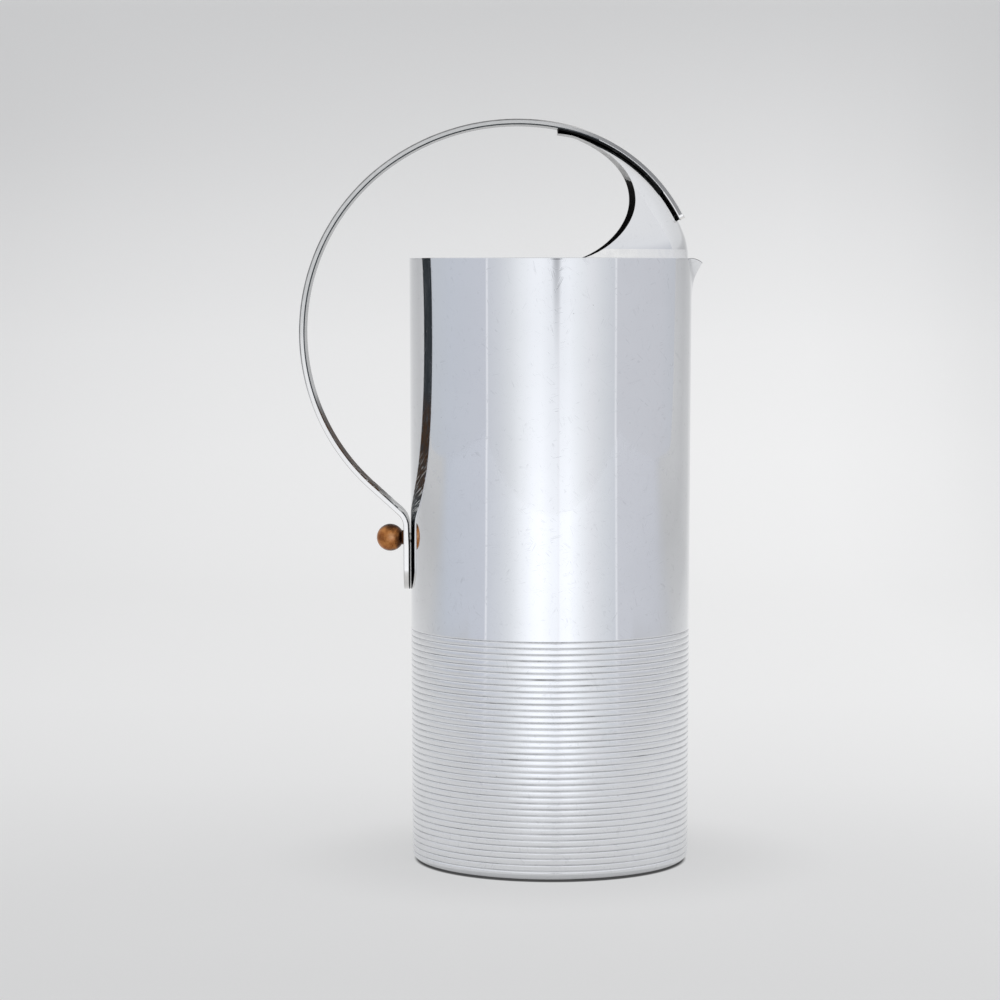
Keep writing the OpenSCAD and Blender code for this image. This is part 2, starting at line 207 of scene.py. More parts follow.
class Value:
    """An output of a node. Reckoning with it adds nodes to its tree."""

    def __init__(self, tree, socket):
        self.tree = tree
        self.socket = socket

    def math(self, operation, *others):
        return self.tree.math(operation, self, *others)

    def __add__(self, other):
        return self.math("ADD", other)

    def __sub__(self, other):
        return self.math("SUBTRACT", other)

    def __mul__(self, other):
        return self.math("MULTIPLY", other)

    def __truediv__(self, other):
        return self.math("DIVIDE", other)

    def __radd__(self, other):
        return self.tree.math("ADD", other, self)

    def __rsub__(self, other):
        return self.tree.math("SUBTRACT", other, self)

    def __abs__(self):
        return self.math("ABSOLUTE")

    def span(self, low, high, to_low=0.0, to_high=1.0, kind="SMOOTHSTEP"):
        """One range mapped onto another, and held at both ends."""
        ends = {"From Min": low, "From Max": high, "To Min": to_low, "To Max": to_high}
        return self.tree.value("MapRange", "Result", {"Value": self, **ends}, interpolation_type=kind)

    def fall(self, low, high):
        """One at the low end and below, none at the high end and above."""
        return self.span(low, high, 1.0, 0.0)

    def spread(self, low, high, kind="SMOOTHSTEP"):
        """A noise spread over a range."""
        return self.span(*NOISE_RANGE, low, high, kind)

    def split(self):
        node = self.tree.add("SeparateXYZ", {"Vector": self})
        return [Value(self.tree, socket) for socket in node.outputs]

    def placed(self, scale=(1, 1, 1), turn=0.0, move=(0, 0, 0)):
        inputs = {"Vector": self, "Location": move, "Rotation": (0, 0, turn), "Scale": scale}
        return self.tree.value("Mapping", "Vector", inputs)

    def noise(self, scale, detail=2.0, roughness=0.5, distortion=0.0, move=(0, 0, 0)):
        """Noise at one scale, or at a scale for each axis and moved."""
        if isinstance(scale, tuple):
            return self.placed(scale, move=move).noise(1.0, detail, roughness, distortion)
        inputs = {"Vector": self, "Scale": scale, "Detail": detail}
        inputs.update({"Roughness": roughness, "Distortion": distortion})
        return self.tree.value("TexNoise", "Fac", inputs)

    def ramp(self, stops):
        """Colour by place, from pairs of a place and a colour."""
        node = self.tree.add("ValToRGB", {"Fac": self})
        elements = node.color_ramp.elements
        while len(elements) > 1:
            elements.remove(elements[-1])
        elements[0].position = stops[0][0]
        elements[0].color = (*stops[0][1], 1)
        for place, colour in stops[1:]:
            elements.new(place).color = (*colour, 1)
        return Value(self.tree, node.outputs["Color"])


class Tree:
    """The node tree of a material or a world."""

    def __init__(self, owner):
        owner.use_nodes = True
        self.owner = owner
        self.nodes = owner.node_tree.nodes
        self.links = owner.node_tree.links
        self.nodes.clear()

    def add(self, kind, inputs=None, **settings):
        node = self.nodes.new("ShaderNode" + kind)
        for key, value in settings.items():
            setattr(node, key, value)
        for key, value in (inputs or {}).items():
            if isinstance(value, Value):
                self.links.new(value.socket, node.inputs[key])
            else:
                node.inputs[key].default_value = value
        return node

    def value(self, kind, output, inputs=None, **settings):
        return Value(self, self.add(kind, inputs, **settings).outputs[output])

    def math(self, operation, *values):
        return self.value("Math", 0, dict(enumerate(values)), operation=operation)

    def largest(self, first, *others):
        for other in others:
            first = self.math("MAXIMUM", first, other)
        return first

    def distance(self, a, b):
        return (a.math("POWER", 2.0) + b.math("POWER", 2.0)).math("SQRT")

    def place(self):
        return self.value("TexCoord", "Object")

    def strip_uv(self):
        return self.value("UVMap", "UV", uv_map="UVMap")

    def ray(self, kind):
        return self.value("LightPath", f"Is {kind} Ray")

    def mix(self, factor, a, b, blend="MIX"):
        a, b = ((*value, 1) if isinstance(value, tuple) else value for value in (a, b))
        return self.value("Mix", 2, {0: factor, 6: a, 7: b}, data_type="RGBA", blend_type=blend)

    def finish(self, colour, rough, metallic=1.0, bump=None, bump_size=0.0, specular=0.5):
        """Ends the tree in one shader, its bump's depth in metres, and gives the material."""
        inputs = {"Base Color": colour, "Roughness": rough, "Metallic": metallic}
        inputs["Specular IOR Level"] = specular
        if bump is not None:
            depth = {"Height": bump, "Strength": 1.0, "Distance": bump_size}
            inputs["Normal"] = self.value("Bump", "Normal", depth)
        self.add("OutputMaterial", {"Surface": self.value("BsdfPrincipled", 0, inputs)})
        return self.owner


def new_material(name):
    return Tree(bpy.data.materials.new(name))


# Finishes

CHROME = (0.86, 0.87, 0.89)
CHROME_WARM = (0.87, 0.86, 0.845)
BLOOM_SHARE = 0.985
SCRATCH_GREY = (0.55, 0.56, 0.58)
SPECK_BROWN = (0.3, 0.29, 0.28)
# Near-black mixed onto the body: painted contact shade at the foot and under it, and darker in the
# grooves and on the lip's edge
DARK_TONE = (0.05, 0.05, 0.06)
# Layers of scratches: turn in radians, lines in ten millimetres, and where the noise starts
SCRATCHES = ((0.5, 5.0, 1.0), (-0.9, 4.0, 3.0), (1.35, 6.0, 7.0), (-0.3, 5.0, 9.0))
SCRATCH_WIDTH = 0.012
SCRATCH_STRETCH = 26
# The grooved part is duller, up to its top in tens of millimetres
BAND_TOP = (FIRST_GROOVE + (GROOVES - 1) * GROOVE_PITCH + GROOVE_W) / 10
BAND_ROUGH = 0.09
# Specular level of near-black things
FAINT_SPECULAR = 0.12
# Places along the strap where its inner face turns brown and streaked, and where its painted
# shade deepens, in tens of millimetres from the free end, as its UVs count them
BROWN_FROM = (21.2, 22.8)
BROWN_TO = (25.5, 26.5)
STREAKS_FROM = (23.5, 25.5)
PLATED_TO = (26.8, 27.6)


def scratch_lines(uv, turn, count, seed):
    """Thin broken lines along one direction: a stretched noise where it crosses its middle."""
    cells = (count, count / SCRATCH_STRETCH, 1)
    line = uv.placed(turn=turn).noise(cells, 2.0, 0.4, 0.35, (seed, seed * 2.3, 0))
    patch = uv.noise((3.2, 3.2, 1), move=(seed * 5.1, seed, 0))
    return abs(line - 0.5).fall(0.0, SCRATCH_WIDTH) * patch.span(0.52, 0.66)


def darkening_share(tree, uv):
    """Share of darkening on the body, less in patches: painted contact shade at the foot."""
    darkening = tree.value("Attribute", "Fac", attribute_name="groove")
    patchy = uv.noise((0.45, 7.0, 1), 3.0, 0.6)
    left = patchy.span(0.4, 0.6, 0.12, 0.28) + patchy.span(0.64, 0.72, 0.0, 0.5)
    return (darkening * left).math("MINIMUM", 1.0)


def chrome_material(name, base_rough, scratches, tint, grooves=False):
    """Bright plate with a faint bloom, hairline scratches and a few specks, laid out on UVs
    that count tens of millimetres."""
    tree = new_material(name)
    uv = tree.strip_uv()
    bloom = uv.noise(0.7, 3.0, 0.55)
    lines = tree.largest(*(scratch_lines(uv, *scratch) for scratch in SCRATCHES)) * scratches
    specks = uv.noise((7, 7, 1), 1.0, move=(4, 1, 0)).span(0.80, 0.83)
    colour = tree.mix(bloom.span(0.35, 0.7), tint, tuple(BLOOM_SHARE * c for c in tint))
    colour = tree.mix(lines * 0.3, colour, SCRATCH_GREY)
    colour = tree.mix(specks * 0.5, colour, SPECK_BROWN)
    rough = bloom.span(0.3, 0.75, base_rough, base_rough + 0.012) + lines * 0.08
    metallic = 1.0
    # On the body: near-black by its darkening attribute, painted contact shade at the foot; the
    # grooved part is duller
    if grooves:
        darkening = darkening_share(tree, uv)
        dull = uv.split()[1].span(BAND_TOP - 0.05, BAND_TOP + 0.02, BAND_ROUGH, 0.0)
        rough = rough + dull + darkening * 0.35
        colour = tree.mix(darkening, colour, DARK_TONE)
        metallic = 1.0 - darkening
    height = uv.noise(9.0, 3.0, 0.6) * 0.06 - lines * 0.6
    return tree.finish(colour, rough, metallic, height, 0.000004)


def edge_material(name, dark, dark_from=None, dark_to=None):
    """Plate darker along an edge, in patches; on the strap only between two places along it, as
    painted dark reflection.
    """
    tree = new_material(name)
    uv = tree.strip_uv()
    dark_share = uv.noise(3.0, 3.0, 0.6).spread(0.75, 1.0)
    if dark_from:
        along = uv.split()[0]
        dark_share = dark_share * along.span(*dark_from) * along.span(*dark_to, 1.0, 0.2)
    return tree.finish(tree.mix(dark_share, CHROME_WARM, dark), 0.08 + dark_share * 0.25)


def strap_inside_material():
    """Inner face of the strap: near-black as painted shade, with plated streaks, brown and streaked
    across low down.
    """
    # The first two colours are painted shade
    shade_dark, shade_deepest = (0.055, 0.066, 0.074), (0.006, 0.006, 0.006)
    plate, brown, bright = (0.42, 0.43, 0.43), (0.11, 0.05, 0.017), (0.8, 0.8, 0.78)
    tree = new_material("strap_inside_shade_and_streaks")
    uv = tree.strip_uv()
    along = uv.split()[0]
    streaks = uv.noise((0.5, 16, 1), 3.0, 0.6, 0.2)
    grains = uv.noise((2.5, 9, 1), 3.0, 0.6)
    slant = uv.placed(turn=0.5).noise((8, 0.8, 1))
    above = along.fall(*PLATED_TO)
    band = along.span(*BROWN_FROM) * along.fall(*BROWN_TO)
    crossed = along.span(*STREAKS_FROM) * slant.span(0.54, 0.62) * above
    plated = tree.largest(streaks.span(0.54, 0.74, 0.0, 0.8), crossed) * above
    # Near-black base as painted shade, deepest past the plated streaks
    colour = tree.mix(along.span(*PLATED_TO), shade_dark, shade_deepest)
    colour = tree.mix(plated, colour, plate)
    colour = tree.mix(band * grains.span(0.36, 0.56) * 0.9, colour, brown)
    colour = tree.mix(crossed * 0.7, colour, bright)
    rough = streaks.spread(0.12, 0.22) + band * 0.4
    return tree.finish(colour, rough, plated * 0.8, streaks, 0.000006, FAINT_SPECULAR)


def interior_material():
    """Dull nickel inside the vessel, with faint water rings."""
    tree = new_material("dull_nickel_inside")
    place = tree.place()
    mottle = place.noise(90.0, 4.0)
    rings = place.noise((12, 12, 260), 3.0)
    colour = tree.mix(rings, (0.60, 0.60, 0.585), (0.70, 0.70, 0.69))
    colour = tree.mix(mottle.span(0.5, 0.7, 0.0, 0.35), colour, (0.46, 0.44, 0.40))
    return tree.finish(colour, mottle.spread(0.38, 0.52), 1.0, mottle, 0.00001)


def matt_material(name, scale, detail, colours, rough, bump_size, specular=0.5):
    """Matt coat without metal, mottled between two colours."""
    tree = new_material(name)
    mottle = tree.place().noise(scale, detail)
    colour = tree.mix(mottle, *colours)
    return tree.finish(colour, mottle.spread(*rough), 0.0, mottle, bump_size, specular)


def inner_shade_material():
    """Near-black inner face of the hood: painted shade."""
    colours = ((0.004, 0.004, 0.004), (0.012, 0.011, 0.011))
    name, rough = "hood_inside_shade", (0.5, 0.65)
    return matt_material(name, 220.0, 4.0, colours, rough, 0.00001, FAINT_SPECULAR)


def rubber_material():
    """Matt black rubber with a faint bloom."""
    colours = ((0.018, 0.018, 0.018), (0.05, 0.05, 0.052))
    return matt_material("seal_rubber", 400.0, 3.0, colours, (0.65, 0.8), 0.00002)


def solder_material():
    """Wiped soft solder: lumpy, half bright, a little greyer towards the lip."""
    tree = new_material("wiped_solder")
    place = tree.place()
    lumps = place.noise(320.0, 3.0, 0.5)
    grain = place.noise(1500.0, 3.0)
    along = place.split()[0] + lumps.spread(-0.006, 0.006)
    colour = tree.mix(lumps.span(0.35, 0.65), (0.90, 0.90, 0.90), (0.97, 0.97, 0.96))
    colour = tree.mix(along.span(0.024, 0.044), colour, (0.84, 0.845, 0.86))
    return tree.finish(colour, grain.spread(0.14, 0.24), 1.0, lumps + grain * 0.05, 0.00012)


def packing_material():
    """Near-black packing with faint lengthwise layers."""
    tree = new_material("black_packing")
    layers = tree.place().noise((60, 60, 1500))
    colour = tree.mix(layers.span(0.58, 0.75), (0.004, 0.004, 0.004), (0.07, 0.07, 0.07))
    return tree.finish(colour, layers.spread(0.4, 0.6), 0.0, layers, 0.00004, FAINT_SPECULAR)


def copper_material():
    """Aged copper: brown patina, near black by the neck, on top and below as painted shade and
    dark reflection, and a painted highlight on both sides."""
    pale, deep = (0.52, 0.22, 0.07), (0.30, 0.10, 0.03)
    # The bright colour is the painted highlight's, the black one the painted shade's
    bright, black, spot = (0.74, 0.42, 0.22), (0.035, 0.014, 0.008), (0.09, 0.04, 0.02)
    tree = new_material("aged_copper")
    place = tree.place()
    x, _, z = place.split()
    across = (x - BALL_X * MM) / (BALL_R * MM)
    up = (z - KNOB_H * MM) / (BALL_R * MM)
    patina = place.noise(260.0, 4.0, 0.6)
    wavy = patina.spread(-0.12, 0.12, "LINEAR")
    # Painted shade and dark reflection by the neck, on top and below
    by_neck = (across + wavy).span(0.3, 0.72)
    on_top, below = (up + wavy).span(0.45, 0.92), (up + wavy).fall(-1.0, -0.72)
    # Painted highlight: a patch through both sides
    painted_highlight = (tree.distance(across - 0.12, up - 0.08) + wavy).fall(0.0, 0.42)
    spots = place.placed(move=(3, 1, 2)).noise(900.0, 3.0)
    colour = tree.mix(patina.span(0.35, 0.68), pale, deep)
    colour = tree.mix(painted_highlight * 0.8, colour, bright)
    colour = tree.mix(tree.largest(by_neck, on_top, below) * 0.9, colour, black)
    colour = tree.mix(spots.span(0.62, 0.76, 0.0, 0.6), colour, spot)
    return tree.finish(colour, patina.spread(0.2, 0.32), 1.0, spots, 0.00001)


def nickel_material():
    """Nickel-plated small fixings with turning marks."""
    tree = new_material("nickel_fixings")
    place = tree.place()
    marks = place.noise((1800, 60, 60))
    colour = tree.mix(place.noise(300.0, 3.0), (0.60, 0.59, 0.55), (0.70, 0.69, 0.66))
    return tree.finish(colour, marks.spread(0.2, 0.34), 1.0, marks, 0.000006)


# Body: a turned profile, its lip laid over it as a bell about its own upright axis

LIP_TIP = np.array([RIM_R + LIP_REACH, BODY_H - LIP_DROOP])
FLARE_C = LIP_TIP + LIP_FLARE_R * np.array([math.cos(LIP_LEAN), -math.sin(LIP_LEAN)])
FLARE_RIM_X = FLARE_C[0] - math.sqrt(LIP_FLARE_R**2 - (BODY_H - FLARE_C[1]) ** 2)
LIP_EDGE_X = math.sqrt(RIM_R**2 - LIP_HALF_W**2)
BELL_X = (FLARE_RIM_X**2 - RIM_R**2) / (2 * (FLARE_RIM_X - LIP_EDGE_X))
BELL_FOOT = FLARE_C[1] + LIP_FLARE_R * math.sin(LIP_FOOT_LEAN)
ROLL_START = np.array([RIM_R - WALL / 2, BODY_H])
ROLL_HALF = (LIP_TIP - ROLL_START) / 2
ROLL_NORMAL = np.array([-ROLL_HALF[1], ROLL_HALF[0]]) / np.linalg.norm(ROLL_HALF)
ROLL_C = ROLL_START + ROLL_HALF - ROLL_NORMAL * math.sqrt(LIP_ROLL_R**2 - ROLL_HALF @ ROLL_HALF)

LIP_BLEND = 1.2
EDGE_ROUNDS = 30
ARRIS = 0.16
EASED_ROWS = 4
BODY_SPOKES = 320
FOOT_STEPS = 16
CORNER_STEPS = 8
# Radii of the rings on the flat under side and on the floor inside
AXIS_R = 0.01
UNDER_RINGS = (AXIS_R, 12, 24, 36, BASE_R - FOOT_R)
FLOOR_RINGS = (38, 24, 12, AXIS_R)
# The lip's rows start at this height, above the plain rows
PLAIN_TOP = BODY_H - 17
PLAIN_ROWS = 36
LIP_ROWS = 30
INNER_ROWS = 20
# The first plain rows above the last groove
FIRST_PLAIN = (0.1, 0.25, 0.5)
# Half a groove: place in its widths, share of its depth, and darkening; the first is the band's edge
HALF_GROOVE = ((-0.5, 0, 0), (-0.42, 0.06, 0), (-0.34, 0.35, 0.3), (-0.22, 0.85, 1), (0, 1, 1))
BAND_EDGE = 0.93
BAND_SHARES = (0.18, 0.34, 0.5, 0.66, 0.82)
# Painted contact shade at the foot, which fades up to a share of the foot's round, and darkening on
# the lip's edge
PAINTED_FOOT_SHADE = 6.0
PAINTED_FOOT_SHADE_SHARE = 0.16
LIP_DARKENING = 7.0


def lip_r(theta, h, inset):
    """Radius of the lip's bell at an angle and height, or none where it has no lip."""
    rise = np.clip(LIP_FLARE_R**2 - (h - FLARE_C[1]) ** 2, 0, None)
    bell = FLARE_C[0] - np.sqrt(rise) - BELL_X - inset
    inside = bell**2 - (BELL_X * np.sin(theta)) ** 2
    reach = BELL_X * np.cos(theta) + np.sqrt(np.clip(inside, 0, None))
    real = (inside > 0) & (np.cos(theta) > 0) & (h > BELL_FOOT - LIP_BLEND)
    return np.where(real, reach, 0.0)


def wall_r(theta, h, inset):
    """Radius of the wall with its lip, the two run together over a short blend."""
    plain = outer_r(h) - inset
    lip = lip_r(theta, h, inset)
    lap = np.clip(LIP_BLEND - np.abs(plain - lip), 0, None)
    return np.maximum(plain, lip) + lap**2 / (4 * LIP_BLEND)


def edge_h(theta, inset):
    """Height of the wall's edge: the rim, or the rolled edge of the lip."""
    h = np.full_like(theta, BODY_H)
    for _ in range(EDGE_ROUNDS):
        x = wall_r(theta, h, inset) * np.cos(theta)
        roll = np.sqrt(np.clip(LIP_ROLL_R**2 - np.clip(x - ROLL_C[0], 0, None) ** 2, 0, None))
        h = 0.5 * h + 0.5 * np.minimum(BODY_H, ROLL_C[1] + roll)
    return h


def groove_line(index):
    """Radius, height and darkening across one groove and the band above it."""
    middle = FIRST_GROOVE + index * GROOVE_PITCH
    other_half = [(-x, depth, darkening) for x, depth, darkening in HALF_GROOVE[-2::-1]]
    line = []
    for x, depth, darkening in (*HALF_GROOVE, *other_half):
        h = middle + x * GROOVE_W
        deep = BAND_CROWN + (GROOVE_D - BAND_CROWN) * depth if depth else BAND_CROWN * BAND_EDGE
        line.append((outer_r(h) - deep, h, darkening))
    if index < GROOVES - 1:
        for share in BAND_SHARES:
            h = middle + GROOVE_W / 2 + share * (GROOVE_PITCH - GROOVE_W)
            line.append((outer_r(h) - BAND_CROWN * (2 * share - 1) ** 2, h, 0))
    return line


def low_outside():
    """Under side, foot and grooved part of the body: radius, height and darkening, painted contact
    shade at the foot.
    """
    line = [(r, 0.0, 1) for r in UNDER_RINGS]
    for r, h in arc((BASE_R - FOOT_R, FOOT_R), FOOT_R, -math.pi / 2, 0, FOOT_STEPS)[1:-1]:
        # Painted contact shade on the foot's low round
        line.append((r, h, PAINTED_FOOT_SHADE * max(0, 1 - h / (PAINTED_FOOT_SHADE_SHARE * FOOT_R))))
    for index in range(GROOVES):
        line += groove_line(index)
    return np.array(line)


def plain_outside(last_groove):
    """Plain wall from the last groove to the lip's rows: radius and height."""
    heights = [last_groove + up for up in FIRST_PLAIN[:-1]]
    heights += list(np.linspace(last_groove + FIRST_PLAIN[-1], PLAIN_TOP, PLAIN_ROWS))
    return np.array([(outer_r(h), h) for h in heights])


def low_inside():
    """Inner wall and floor, from the lip's rows down to the axis: radius and height."""
    corner = FOOT_R - WALL
    heights = np.linspace(PLAIN_TOP, FLOOR + corner, INNER_ROWS)[1:]
    side = [(outer_r(h) - WALL, h) for h in heights]
    centre = (side[-1][0] - corner, FLOOR + corner)
    turn = arc(centre, corner, 0, -math.pi / 2, CORNER_STEPS)[1:]
    return np.vstack([side, turn, [(r, FLOOR) for r in FLOOR_RINGS]])


def eased_edge(a, corner, b):
    """Rows of a small rounded arris between two surfaces that meet at a corner."""
    t = np.linspace(0, 1, EASED_ROWS + 2)[1:-1, None, None]
    return (1 - t) ** 2 * a + 2 * (1 - t) * t * corner + t**2 * b


def lip_rows(theta):
    """Rows over the edge, from the lip's foot outside to its foot inside, in their parts."""
    share = np.linspace(0, 1, LIP_ROWS + 1)[1:, None]

    def face(inset):
        top = edge_h(theta, inset)
        h = PLAIN_TOP + share * (top - ARRIS - PLAIN_TOP)
        rows = np.stack([wall_r(theta, h, inset), h], -1)
        return rows, np.stack([wall_r(theta, top, inset), top], -1)

    outside, corner_out = face(0.0)
    inside, corner_in = face(WALL)
    across = corner_in - corner_out
    ease = across * ARRIS / np.linalg.norm(across, axis=-1, keepdims=True)
    flat_out, flat_in = corner_out + ease, corner_in - ease
    rounded_out = eased_edge(outside[-1], corner_out, flat_out)
    rounded_in = eased_edge(flat_in, corner_in, inside[-1])
    return [outside, rounded_out, flat_out[None], flat_in[None], rounded_in, inside[::-1]]


def body_uv(places, heights):
    """Tens of millimetres round and up at the corners of each quad."""
    around = RIM_R * 2 * math.pi / BODY_SPOKES / 10
    i = places[:, :1] + np.array([0, 1, 1, 0])
    j = places[:, 1:] + np.array([0, 0, 1, 1])
    return np.stack([i * around, heights[j] / 10], -1)


def build_body():
    theta = np.linspace(0, 2 * math.pi, BODY_SPOKES, endpoint=False)
    low = low_outside()
    plain = plain_outside(low[-1, 1])
    bottom = low_inside()
    low_rows, plain_rows, bottom_rows = (
        np.repeat(line[:, None, :2], BODY_SPOKES, 1) for line in (low, plain, bottom)
    )
    rows = np.vstack([low_rows, plain_rows, *lip_rows(theta), bottom_rows])
    r, h = rows[..., 0], rows[..., 1]
    grid = np.stack([r * np.cos(theta), r * np.sin(theta), h], -1).swapaxes(0, 1)
    normals = grid_normals(grid, True)
    faces, places = grid_faces(BODY_SPOKES, len(rows), ring_rows=True)
    inner_start = len(rows) - len(bottom) - LIP_ROWS
    material = (places[:, 1] >= inner_start).astype(int)
    uv = body_uv(places, h[:, 0])
    plate = chrome_material("chrome_body", 0.02, 1.0, CHROME, grooves=True)
    obj = mesh_object("body", grid, faces, normals, [plate, interior_material()], material, uv)
    # Darkening per point: painted contact shade under the body and at the foot, darker in the grooves
    # and on the lip's edge
    darkening = np.zeros((BODY_SPOKES, len(rows)))
    darkening[:, : len(low)] = low[:, 2]
    edge_start = len(low) + len(plain) + LIP_ROWS
    at_lip = np.abs((theta + math.pi) % (2 * math.pi) - math.pi) < LIP_HALF_W / RIM_R
    darkening[at_lip, edge_start : edge_start + EASED_ROWS + 2] = LIP_DARKENING
    attribute = obj.data.attributes.new("groove", "FLOAT", "POINT")
    attribute.data.foreach_set("value", darkening.reshape(-1).astype(np.float32))
    dress(obj, "pitcher", "body_shell")


# Hood: crown, shoulder and skirt, each row of it ending on the cut-out seen from the side

CROWN_REACH = SKIRT_R - FRONT_C[0]
FRONT_DROP = BODY_H - FRONT_C[1]
SHOULDER_R = (CROWN_REACH**2 + FRONT_DROP**2 - CROWN_R**2) / (2 * (CROWN_REACH - CROWN_R))
SHOULDER_C = np.array([SKIRT_R - SHOULDER_R, BODY_H])
CROWN_TURN = math.atan2(SHOULDER_C[1] - FRONT_C[1], SHOULDER_C[0] - FRONT_C[0])
HOOD_SPOKES = 161
CROWN_STEPS = 120
SHOULDER_STEPS = 24
SKIRT_ROWS = 4
CUT_STEPS = 80
# Control points of the cut-out's two curves, as shares of the way across and up
LOWER_CUT = ((0.46, 0.125), (1, 0.53))
UPPER_CUT = ((0, 0.49), (0.495, 0.83))
# The inner face is near-black as painted shade below a sloping line, short of the tongue
SHADE_LINE_TOP = BODY_H + 39.8
SHADE_LINE_SLOPE = 0.4


def tongue_h(x):
    """Height of the crown at the tongue's side edge."""
    r = math.hypot(x, STRAP_HALF)
    return FRONT_C[1] + math.sqrt(CROWN_R**2 - (r - FRONT_C[0]) ** 2)


def cubic(p, q, shares):
    """Cubic curve from p to q, its two control points given as shares of the way."""
    t = np.linspace(0, 1, CUT_STEPS + 1)[:, None]
    a, b, c, d = (p + np.array(s) * (q - p) for s in ((0, 0), *shares, (1, 1)))
    return (1 - t) ** 3 * a + 3 * (1 - t) ** 2 * t * b + 3 * (1 - t) * t**2 * c + t**3 * d


def cut_line():
    """Edge of the cut-out as place and height, from the skirt's foot to the tongue's tip."""
    root = np.array([TONGUE_ROOT_X, tongue_h(TONGUE_ROOT_X)])
    tip_h = tongue_h(TONGUE_TIP_X)
    start = [(CUT_FOOT[0], BODY_H - 2 * SKIRT_DROP)]
    lower = cubic(CUT_FOOT, CUT_DEEP, LOWER_CUT)
    upper = cubic(CUT_DEEP, root, UPPER_CUT)
    tip = [(TONGUE_TIP_X, tip_h), (TONGUE_TIP_X, tip_h + STRAP_W)]
    return np.vstack([start, lower, upper[1:], tip])


def hood_rows(inset):
    """Radius and height down the hood's profile, from the tongue's tip to the skirt's foot."""
    radius = CROWN_R - inset
    top = math.acos((TONGUE_TIP_X - FRONT_C[0]) / radius)
    crown = arc(FRONT_C, radius, top, CROWN_TURN, CROWN_STEPS)
    shoulder = arc(SHOULDER_C, SHOULDER_R - inset, CROWN_TURN, 0, SHOULDER_STEPS)[1:]
    drops = [SKIRT_DROP * k / SKIRT_ROWS for k in range(1, SKIRT_ROWS + 1)]
    return np.vstack([crown, shoulder, [(SKIRT_R - inset, BODY_H - drop) for drop in drops]])


def hood_face(inset, cut):
    """Points of one face of the hood, and its normals away from the hood's axis."""
    rows = hood_rows(inset)
    edge_x = np.interp(rows[:, 1], cut[:, 1], cut[:, 0])
    half = np.arccos(np.clip(edge_x / rows[:, 0], -1, 1))
    theta = half[:, None] * np.linspace(-1, 1, HOOD_SPOKES)
    r, h = rows[:, :1], np.repeat(rows[:, 1:], HOOD_SPOKES, 1)
    run = lengthwise(rows)
    out, rise = -run[:, 1:], np.repeat(run[:, :1], HOOD_SPOKES, 1)
    points = np.stack([r * np.cos(theta), r * np.sin(theta), h], -1)
    return points, np.stack([out * np.cos(theta), out * np.sin(theta), rise], -1)


def build_hood():
    cut = cut_line()
    outer, outer_n = hood_face(0.0, cut)
    inner, inner_n = hood_face(HOOD_T, cut)
    numbers = np.arange(outer.size // 3).reshape(outer.shape[:2])
    ring = np.hstack([numbers[:, 0], numbers[-1, 1:], numbers[-2::-1, -1]])
    size, count = numbers.size, len(ring)
    outer, outer_n, inner, inner_n = (a.reshape(-1, 3) for a in (outer, outer_n, inner, -inner_n))
    edge_n = normalised(np.cross(lengthwise(outer[ring]), inner[ring] - outer[ring]))
    points = np.vstack([outer, inner, outer[ring], inner[ring]])
    normals = np.vstack([outer_n, inner_n, edge_n, edge_n])
    quads, _ = grid_faces(*numbers.shape)
    inner_quads = quads[:, ::-1] + size
    k = 2 * size + np.arange(count - 1)
    strip = np.stack([k, k + 1, k + count + 1, k + count], -1)
    faces = np.vstack([quads, inner_quads, strip])
    middles = points[inner_quads].mean(1)
    # Inner faces below the line are near-black as painted shade; the tongue's inner face takes the
    # edge's grey
    black = middles[:, 2] + SHADE_LINE_SLOPE * middles[:, 0] < SHADE_LINE_TOP
    material = np.hstack([np.zeros(len(quads)), np.where(black, 1, 2), np.full(count - 1, 2)])
    x, y, z = points[faces.reshape(-1)].T
    uv = np.stack([y * 1.2 + x * 0.2, z - x * 0.5], -1) / 10
    plate = chrome_material("chrome_hood", 0.06, 0.5, CHROME)
    finishes = [plate, inner_shade_material(), edge_material("hood_edge", (0.40, 0.40, 0.40))]
    obj = mesh_object("hood", points, faces, normals, finishes, material, uv)
    obj.data.name = "hood_mesh"
    dress(obj, "pitcher", "hood")


# Packing: a black layer under the strap, thick down to the dome along its middle; its narrow, thin
# part towards the free end is painted shade in the open gap

PACKING_SEAM = 0.02
PACKING_INSET = 0.4
PACKING_ROWS = 140
PACKING_COLS = 33
DOME_ROUNDS = 12
# Below about 37 degrees, towards the free end, the narrow thin part stands for shade in the open gap:
# painted shade
# Half its width and its greatest depth, by angle round the front arc in degrees
PACKING_HALF = ((36.6, 5.0), (37.6, STRAP_HALF - PACKING_INSET))
PACKING_DEPTH = ((26.4, 0.36), (36.8, 0.36), (37.6, 1.0), (48, 0.6), (56, 0.8), (62, 0.6), (80, 0.5))


def dome_reach(angle, across):
    """Distance from the front arc's centre to the hood's crown, at an angle and a place across."""
    reach = np.full_like(across, CROWN_R)
    for _ in range(DOME_ROUNDS):
        x = FRONT_C[0] + reach * np.cos(angle)
        rise = np.sqrt(CROWN_R**2 - (np.hypot(x, across) - FRONT_C[0]) ** 2)
        reach += (rise - reach * np.sin(angle)) * np.sin(angle)
    return reach


